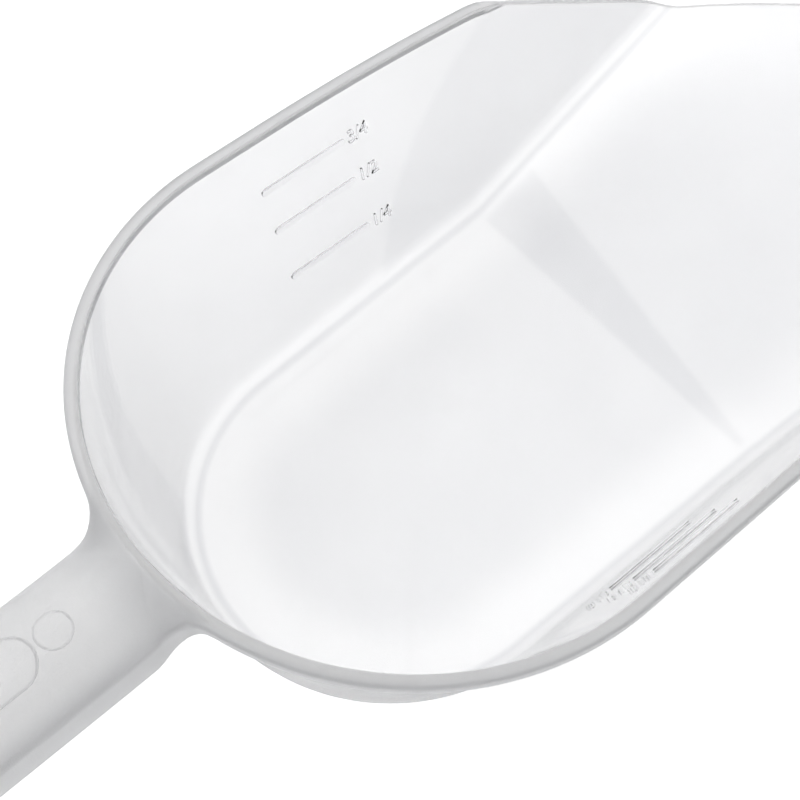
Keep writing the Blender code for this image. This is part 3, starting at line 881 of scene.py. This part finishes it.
def plastic(name, tints, roughness, clearness, index, grain, waves, haze_and_painted_light=None):
    """Translucent plastic: cloudy flow in its tint, uneven polish, fine grain and slow waves; a given mask
    adds haze, painted shade and painted reflections to the tint.
    """
    if name in bpy.data.materials:
        return bpy.data.materials[name]
    material, tree, place = empty_material(name)
    flow = tree.noise(place, FLOW_SCALE, 3.0)
    speckle = tree.noise(place, SPECKLE_SCALE, 2.0)
    wave = tree.noise(place, WAVE_SCALE, 1.0)
    cloud_and_painted_light = (flow - 0.5) * FLOW_TINT + (speckle - 0.5) * (grain * SPECKLE_TINT)
    # the mask adds cloudiness together with painted shade and painted reflections to the tint
    cloud_and_painted_light = cloud_and_painted_light + (haze_and_painted_light(tree, place) if haze_and_painted_light else 0.5)
    tint = tree.blend(cloud_and_painted_light, *tints)
    wear = tree.noise(place, WEAR_SCALE, 4.0, 0.7)
    rough = (wear - 0.5) * (WEAR_ROUGHNESS * roughness) + (speckle - 0.5) * (SPECKLE_ROUGHNESS * roughness)
    rough = rough + roughness
    height = wave * waves + speckle * grain
    bump = tree.add("ShaderNodeBump", {}, {"Height": height, "Distance": MM, "Strength": 1.0})
    shader = tree.add("ShaderNodeBsdfPrincipled", {}, {
        "Base Color": tint, "Roughness": rough, "Normal": bump, "IOR": index,
        "Transmission Weight": clearness})
    tree.add("ShaderNodeOutputMaterial", {}, {"Surface": shader})
    return material


def polished(scene):
    looks = scene.scoop_plastic
    return plastic("polished_inside", (looks.pale, looks.milky), looks.polish, looks.clearness, looks.index,
                   grain=0.0006, waves=0.05, haze_and_painted_light=lambda tree, place: bowl_haze_and_painted_light(tree, place, scene))


def frosted(scene):
    looks = scene.scoop_plastic
    return plastic("frosted_outside", (looks.pale, looks.milky), looks.frost, looks.clearness, looks.index,
                   grain=0.05, waves=0.03, haze_and_painted_light=lambda tree, place: bowl_haze_and_painted_light(tree, place, scene))


def solid_plastic(scene):
    looks = scene.scoop_plastic
    # this finish carries the painted shade of rim and handle
    return plastic("frosted_edge_with_painted_shade", (looks.edge_light, looks.edge_cloud_and_shade), looks.frost, looks.edge_clearness,
                   looks.index, grain=0.05, waves=0.02,
                   haze_and_painted_light=lambda tree, place: edge_painted_shade(tree, place, scene))


def mark_finish(scene):
    looks = scene.scoop_plastic
    return plastic("raised_mark", (looks.pale, looks.pale), looks.polish, 1.0, looks.mark_index,
                   grain=0.0, waves=0.0)


class StageSizes(bpy.types.PropertyGroup):
    """Floor, light and camera."""
    floor_size: length("Floor size", "Edge of the square floor", 6000.0)
    floor_level: length("Floor level", "Just under the scoop", -0.3)
    floor_glow: ratio("Floor glow", "Light that the paper itself gives", 0.63)
    sky: colour("Sky", "Light from straight above", (0.40, 0.40, 0.40))
    horizon: colour("Horizon", "Light from the sides", (0.2, 0.205, 0.22))
    top_light: power("Top light", "Power of the softbox above", 22.0)
    side_light: power("Side light", "Power of the side softbox", 0.6)
    camera: position("Camera", "Place of the camera", (-0.12985, -0.1363, 0.3932))
    target: position("Target", "Where the camera looks", (0.01185, 0.022, 0.002))



TOOTH_SCALE, TOOTH_DEPTH = 900.0, 0.05 * MM
PAPER_TINT = PAPER_ROUGHNESS = 0.9
HORIZON_TOP, SKY_START = 0.2, 0.65           # upward part of the direction at which the sky changes
SOFTBOX_TOP_PLACE, SOFTBOX_TOP_SIZE = (0.35, 0.75, 1.1), 3.2
SOFTBOX_SIDE_PLACE, SOFTBOX_SIDE_SIZE = (-0.9, 0.5, 0.7), 0.6
LENS, SENSOR, NEAREST_SEEN = 72, 36, 0.01


def paper(stage):
    """White studio paper with a faint tooth, which gives a little light itself so that it stays pale."""
    material, tree, place = empty_material("studio_paper")
    tooth = tree.noise(place, TOOTH_SCALE, 3.0)
    bump = tree.add("ShaderNodeBump", {}, {"Height": tooth, "Distance": TOOTH_DEPTH})
    shader = tree.add("ShaderNodeBsdfPrincipled", {}, {
        "Base Color": (PAPER_TINT, PAPER_TINT, PAPER_TINT, 1), "Roughness": PAPER_ROUGHNESS, "Normal": bump,
        "Emission Color": (1, 1, 1, 1), "Emission Strength": stage.floor_glow})
    tree.add("ShaderNodeOutputMaterial", {}, {"Surface": shader})
    return material


def surroundings(scene, stage):
    """A soft sky that darkens towards the horizon."""
    world = bpy.data.worlds.new("studio")
    world.use_nodes = True
    tree = Tree(world.node_tree)
    direction = tree.add("ShaderNodeTexCoord", output="Generated")
    height = tree.add("ShaderNodeSeparateXYZ", {}, {"Vector": direction}, "Z")
    light = tree.ramp(height, {0.0: stage.horizon, HORIZON_TOP: stage.horizon, SKY_START: stage.sky})
    background = tree.add("ShaderNodeBackground", {}, {"Color": light, "Strength": 1.0})
    tree.add("ShaderNodeOutputWorld", {}, {"Surface": background})
    scene.world = world


# ---------------------------------------------------------------- making pieces

def to_frame(scene):
    """Matrix from the scoop's own coordinates to the frame's."""
    bowl = scene.scoop_bowl
    return Matrix.Translation((CAD_HIGH.x - bowl.lip_tip, 0, CAD_LOW.z + bowl.wall))


def add_object(context, name, data):
    """Links a new object with this data into the scene."""
    item = bpy.data.objects.new(name, data)
    context.collection.objects.link(item)
    return item


def baked(context, worker):
    """Plain mesh of a worker object, with its modifiers applied; the worker is removed."""
    graph = context.evaluated_depsgraph_get()
    made = bpy.data.meshes.new_from_object(worker.evaluated_get(graph))
    bpy.data.objects.remove(worker)
    return made


def shaded_mesh(shape, name):
    """Turns a finished bmesh into a mesh whose sharp edges stay sharp."""
    mesh = bpy.data.meshes.new(name)
    shape.to_mesh(mesh)
    shape.free()
    mesh.set_sharp_from_angle(angle=SHARP_ANGLE)
    return mesh


def finish_piece(context, name, mesh, materials, slot, *nodes):
    """Adds the object, gives it its materials and body, and hides the CAD nodes that it stands for."""
    mesh.name = name
    mesh.transform(to_frame(context.scene))
    if not mesh.materials:
        for material in materials:
            mesh.materials.append(material)
    piece = add_object(context, name, mesh)
    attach(piece, "root")
    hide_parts(*nodes)
    return piece


BEVEL_STEPS, ROUND_END_STEPS, PROFILE_STEPS, FIGURE_STEPS = 3, 10, 12, 6
NEARLY_HALF = 0.4999                # just under half, so that a bar's two round ends do not meet
BADGE_END_STEPS, RING_STEPS = 24, 48


def modelled(context, mesh, group, values, bevel=0.0):
    """Runs a geometry tree on a mesh and returns the result as a new plain mesh."""
    worker = add_object(context, "worker", mesh)
    modifier = worker.modifiers.new("Shape", "NODES")
    modifier.node_group = group
    sockets = {item.name: item.identifier for item in group.interface.items_tree if item.in_out == "INPUT"}
    for name, value in values.items():
        modifier[sockets[name]] = value
    if bevel:
        rounding = worker.modifiers.new("Rounding", "BEVEL")
        rounding.width, rounding.segments, rounding.limit_method = bevel, BEVEL_STEPS, "ANGLE"
    return baked(context, worker)


def geometry_group(name, lengths):
    """An empty geometry tree with these length inputs and a material input. Returns (group, tree, input)."""
    group = bpy.data.node_groups.new(name, "GeometryNodeTree")
    group.interface.new_socket("Geometry", in_out="INPUT", socket_type="NodeSocketGeometry")
    for label in lengths:
        group.interface.new_socket(label, in_out="INPUT", socket_type="NodeSocketFloat").subtype = "DISTANCE"
    group.interface.new_socket("Material", in_out="INPUT", socket_type="NodeSocketMaterial")
    group.interface.new_socket("Geometry", in_out="OUTPUT", socket_type="NodeSocketGeometry")
    tree = Tree(group)
    source = group.nodes.new("NodeGroupInput")
    return group, tree, {socket.name: Wire(tree, socket) for socket in source.outputs if socket.name}


def bar_group():
    """Puts a flat bar with round ends on every point of the mesh."""
    group, tree, given = geometry_group("raised_bar", ("Length", "Width", "Relief", "Root"))
    outline = tree.add("GeometryNodeCurvePrimitiveQuadrilateral", {},
                       {"Width": given["Length"], "Height": given["Width"]})
    outline = tree.add("GeometryNodeFilletCurve", {"mode": "POLY"}, {
        "Curve": outline, "Radius": given["Width"] * NEARLY_HALF, "Count": ROUND_END_STEPS})
    face = tree.add("GeometryNodeFillCurve", {"mode": "NGONS"}, {"Curve": outline})
    up = tree.add("ShaderNodeCombineXYZ", {}, {"Z": 1.0})
    raised = tree.add("GeometryNodeExtrudeMesh", {}, {
        "Mesh": face, "Offset": up, "Offset Scale": given["Relief"] + given["Root"], "Individual": False})
    back = tree.add("GeometryNodeFlipFaces", {}, {"Mesh": face})
    bar = tree.add("GeometryNodeJoinGeometry", {}, {"Geometry": [raised, back]})
    bar = tree.add("GeometryNodeMergeByDistance", {}, {"Geometry": bar, "Distance": 1e-6})
    sunk = tree.add("ShaderNodeCombineXYZ", {}, {"Z": given["Root"] * -1.0})
    bar = tree.add("GeometryNodeTransform", {}, {"Geometry": bar, "Translation": sunk})
    bars = tree.add("GeometryNodeInstanceOnPoints", {}, {"Points": given["Geometry"], "Instance": bar})
    finish_group(tree, bars, given)
    return group


def line_group():
    """Raises a rounded line along every edge of the mesh."""
    group, tree, given = geometry_group("raised_line", ("Width", "Height"))
    path = tree.add("GeometryNodeMeshToCurve", {}, {"Mesh": given["Geometry"]})
    path = tree.add("GeometryNodeSetCurveNormal", {"mode": "Z_UP"}, {"Curve": path})
    ring = tree.add("GeometryNodeCurvePrimitiveCircle", {}, {"Resolution": PROFILE_STEPS, "Radius": 0.5})
    scale = tree.add("ShaderNodeCombineXYZ", {}, {"X": given["Width"], "Y": given["Height"], "Z": 1.0})
    ring = tree.add("GeometryNodeTransform", {}, {"Geometry": ring, "Scale": scale})
    sweep = tree.add("GeometryNodeCurveToMesh", {}, {"Curve": path, "Profile Curve": ring})
    finish_group(tree, sweep, given)
    return group


def finish_group(tree, made, given):
    """Ends a geometry tree in real, smooth, painted geometry."""
    made = tree.add("GeometryNodeRealizeInstances", {}, {"Geometry": made})
    made = tree.add("GeometryNodeSetShadeSmooth", {}, {"Geometry": made})
    made = tree.add("GeometryNodeSetMaterial", {}, {"Geometry": made, "Material": given["Material"]})
    tree.add("NodeGroupOutput", {}, {"Geometry": made})


def path_mesh(points):
    """A closed line of edges through these points."""
    mesh = bpy.data.meshes.new("path")
    count = len(points)
    mesh.from_pydata(points, [(step, (step + 1) % count) for step in range(count)], [])
    return mesh


def wall_plate(bowl, marks, x, z, side):
    """Matrix that lays a drawing, facing +Z and read along +X, on the inside of a side wall."""
    normal = Vector((0, -side, bowl.s.wall_flare)).normalized()
    along = Vector((side, bowl.s.side_taper, 0))
    along = (along + Vector((0, bowl.s.wall_flare, side)) * marks.slope).normalized()
    normal = (normal - along * normal.dot(along)).normalized()
    turned = Matrix((along, normal.cross(along), normal)).transposed().to_4x4()
    return Matrix.Translation((x, side * bowl.half_width(x, z), z)) @ turned


def figures(context, text, marks):
    """Raised figures that start at the origin and are read along +X."""
    curve = bpy.data.curves.new("figures", "FONT")
    curve.body, curve.size, curve.align_y = text, marks.figure, "CENTER"
    curve.extrude, curve.resolution_u = (marks.relief + marks.root) / 2, FIGURE_STEPS
    made = baked(context, add_object(context, "worker", curve))
    made.transform(Matrix.Translation((0, 0, (marks.relief - marks.root) / 2)))
    return made


def crown_height(handle, y):
    """Height of the handle's top at y, along its straight part."""
    radius = crown_radius(handle)
    return handle.crown - radius + math.sqrt(radius ** 2 - y ** 2)


# ---------------------------------------------------------------- operators

class OBJECT_OT_scoop_moulding(bpy.types.Operator):
    """Moulds bowl, rim and handle as one continuous skin of plastic"""
    bl_idname = "object.scoop_moulding"
    bl_label = "Moulding"

    def execute(self, context):
        mesh = shaded_mesh(Moulding(context.scene).build(), "scoop_moulding")
        finishes = [make(context.scene) for make in (polished, solid_plastic, frosted)]
        finish_piece(context, "scoop_moulding", mesh, finishes, "clear_plastic",
                     "bowl", "rim_bead", "handle")
        return {"FINISHED"}


class OBJECT_OT_scoop_marks(bpy.types.Operator):
    """Raises the fill marks and their figures on both side walls"""
    bl_idname = "object.scoop_marks"
    bl_label = "Fill marks"

    def execute(self, context):
        scene = context.scene
        bowl, marks = BowlShape(scene.scoop_bowl), scene.scoop_marks
        finish = mark_finish(scene)
        group = bar_group()
        sizes = {"Length": marks.length, "Width": marks.width, "Relief": marks.relief, "Root": marks.root,
                 "Material": finish}
        levels = {"quarter": ("1/4", marks.quarter), "half": ("1/2", marks.half),
                  "three_quarter": ("3/4", marks.three_quarter)}
        for side, word in ((1, "left"), (-1, "right")):
            plate = wall_plate(bowl, marks, marks.middle, marks.half, side)
            spots = [plate.inverted() @ wall_plate(bowl, marks, marks.middle, z, side).translation
                     for _, z in levels.values()]
            base = bpy.data.meshes.new("spots")
            base.from_pydata(spots, [], [])
            shape = bmesh.new()
            shape.from_mesh(modelled(context, base, group, sizes, marks.relief * 0.5))
            for spot, (text, _) in zip(spots, levels.values()):
                number = figures(context, text, marks)
                number.transform(Matrix.Translation(spot + Vector((marks.length / 2 + marks.gap, 0, 0))))
                shape.from_mesh(number)
            shape.transform(plate)
            mesh = shaded_mesh(shape, "marks")
            finish_piece(context, f"fill_marks_{word}", mesh, (finish,), "mark_plastic",
                         *(f"graduation_{level}_{word}" for level in levels))
        return {"FINISHED"}


class OBJECT_OT_scoop_handle_marks(bpy.types.Operator):
    """Raises the blank badge outline and the faint moulding ring on the handle's crown"""
    bl_idname = "object.scoop_handle_marks"
    bl_label = "Handle marks"

    def execute(self, context):
        scene = context.scene
        handle, badge = scene.scoop_handle, scene.scoop_badge
        finish = mark_finish(scene)
        group = line_group()

        def raised(name, outline, width, height, *nodes):
            points = [(x, y, crown_height(handle, y)) for x, y in outline]
            mesh = modelled(context, path_mesh(points), group,
                            {"Width": width, "Height": height, "Material": finish})
            finish_piece(context, name, mesh, (finish,), "frosted_plastic", *nodes)

        reach = badge.half_width - badge.line / 2
        ends = (badge.front - badge.half_width, -math.pi / 2), (badge.back + badge.half_width, math.pi / 2)
        outline = [(middle + reach * math.cos(first + math.pi * step / BADGE_END_STEPS),
                    reach * math.sin(first + math.pi * step / BADGE_END_STEPS))
                   for middle, first in ends for step in range(BADGE_END_STEPS + 1)]
        raised("handle_badge_outline", outline, badge.line, 2 * badge.relief, "handle_badge")
        ring = [(badge.ring_x + badge.ring * math.cos(math.tau * step / RING_STEPS),
                 badge.ring * math.sin(math.tau * step / RING_STEPS)) for step in range(RING_STEPS)]
        raised("moulding_ring", ring, badge.ring_line, 2 * badge.ring_relief)
        return {"FINISHED"}


class OBJECT_OT_scoop_stage(bpy.types.Operator):
    """Sets a pale floor, soft studio light and the camera"""
    bl_idname = "object.scoop_stage"
    bl_label = "Stage"

    def execute(self, context):
        scene = context.scene
        stage = scene.scoop_stage
        half = stage.floor_size / 2
        mesh = bpy.data.meshes.new("studio_floor")
        mesh.from_pydata([(-half, -half, stage.floor_level), (half, -half, stage.floor_level),
                          (half, half, stage.floor_level), (-half, half, stage.floor_level)], [],
                         [(0, 1, 2, 3)])
        mesh.materials.append(paper(stage))
        floor = add_object(context, "studio_floor", mesh)
        floor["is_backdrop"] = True
        surroundings(scene, stage)
        softboxes = (("softbox_top", SOFTBOX_TOP_PLACE, SOFTBOX_TOP_SIZE, stage.top_light),
                     ("softbox_side", SOFTBOX_SIDE_PLACE, SOFTBOX_SIDE_SIZE, stage.side_light))
        for name, place, size, energy in softboxes:
            light = bpy.data.lights.new(name, "AREA")
            light.shape, light.size, light.energy = "SQUARE", size, energy
            lamp = add_object(context, name, light)
            lamp.location = place
            lamp.rotation_euler = Vector(place).to_track_quat("Z", "Y").to_euler()
        lens = bpy.data.cameras.new("camera")
        lens.lens, lens.sensor_width, lens.clip_start = LENS, SENSOR, NEAREST_SEEN
        camera = add_object(context, "camera", lens)
        camera.location = Vector(stage.camera)
        away = Vector(stage.target) - camera.location
        camera.rotation_euler = away.to_track_quat("-Z", "Y").to_euler()
        scene.camera = camera
        scene.view_settings.view_transform = "Standard"
        return {"FINISHED"}


class VIEW3D_PT_feed_scoop(bpy.types.Panel):
    """Lists the operators and the sizes that they use."""
    bl_label = "Feed Scoop"
    bl_category = "Feed Scoop"
    bl_space_type = "VIEW_3D"
    bl_region_type = "UI"

    def draw(self, context):
        for operator in OPERATORS:
            self.layout.operator(operator.bl_idname)
        for name in SETTINGS:
            settings = getattr(context.scene, name)
            box = self.layout.box()
            for key in settings.bl_rna.properties.keys():
                if key not in ("rna_type", "name"):
                    box.prop(settings, key)


SETTINGS = {"scoop_bowl": BowlSizes, "scoop_rim": RimSizes, "scoop_handle": HandleSizes,
            "scoop_marks": MarkSizes, "scoop_badge": BadgeSizes, "scoop_detail": Detail,
            "scoop_plastic": PlasticLooks, "scoop_haze": HazeAndPaintedLightSizes, "scoop_stage": StageSizes}
OPERATORS = (OBJECT_OT_scoop_moulding, OBJECT_OT_scoop_marks, OBJECT_OT_scoop_handle_marks,
             OBJECT_OT_scoop_stage)


def register():
    for item in (*SETTINGS.values(), *OPERATORS, VIEW3D_PT_feed_scoop):
        bpy.utils.register_class(item)
    for name, group in SETTINGS.items():
        setattr(bpy.types.Scene, name, PointerProperty(type=group))


def unregister():
    for name in SETTINGS:
        delattr(bpy.types.Scene, name)
    for item in (VIEW3D_PT_feed_scoop, *OPERATORS, *SETTINGS.values()):
        bpy.utils.unregister_class(item)


def main():
    register()
    bpy.ops.object.scoop_moulding()
    bpy.ops.object.scoop_marks()
    bpy.ops.object.scoop_handle_marks()
    bpy.ops.object.scoop_stage()


if __name__ == "__main__":
    main()
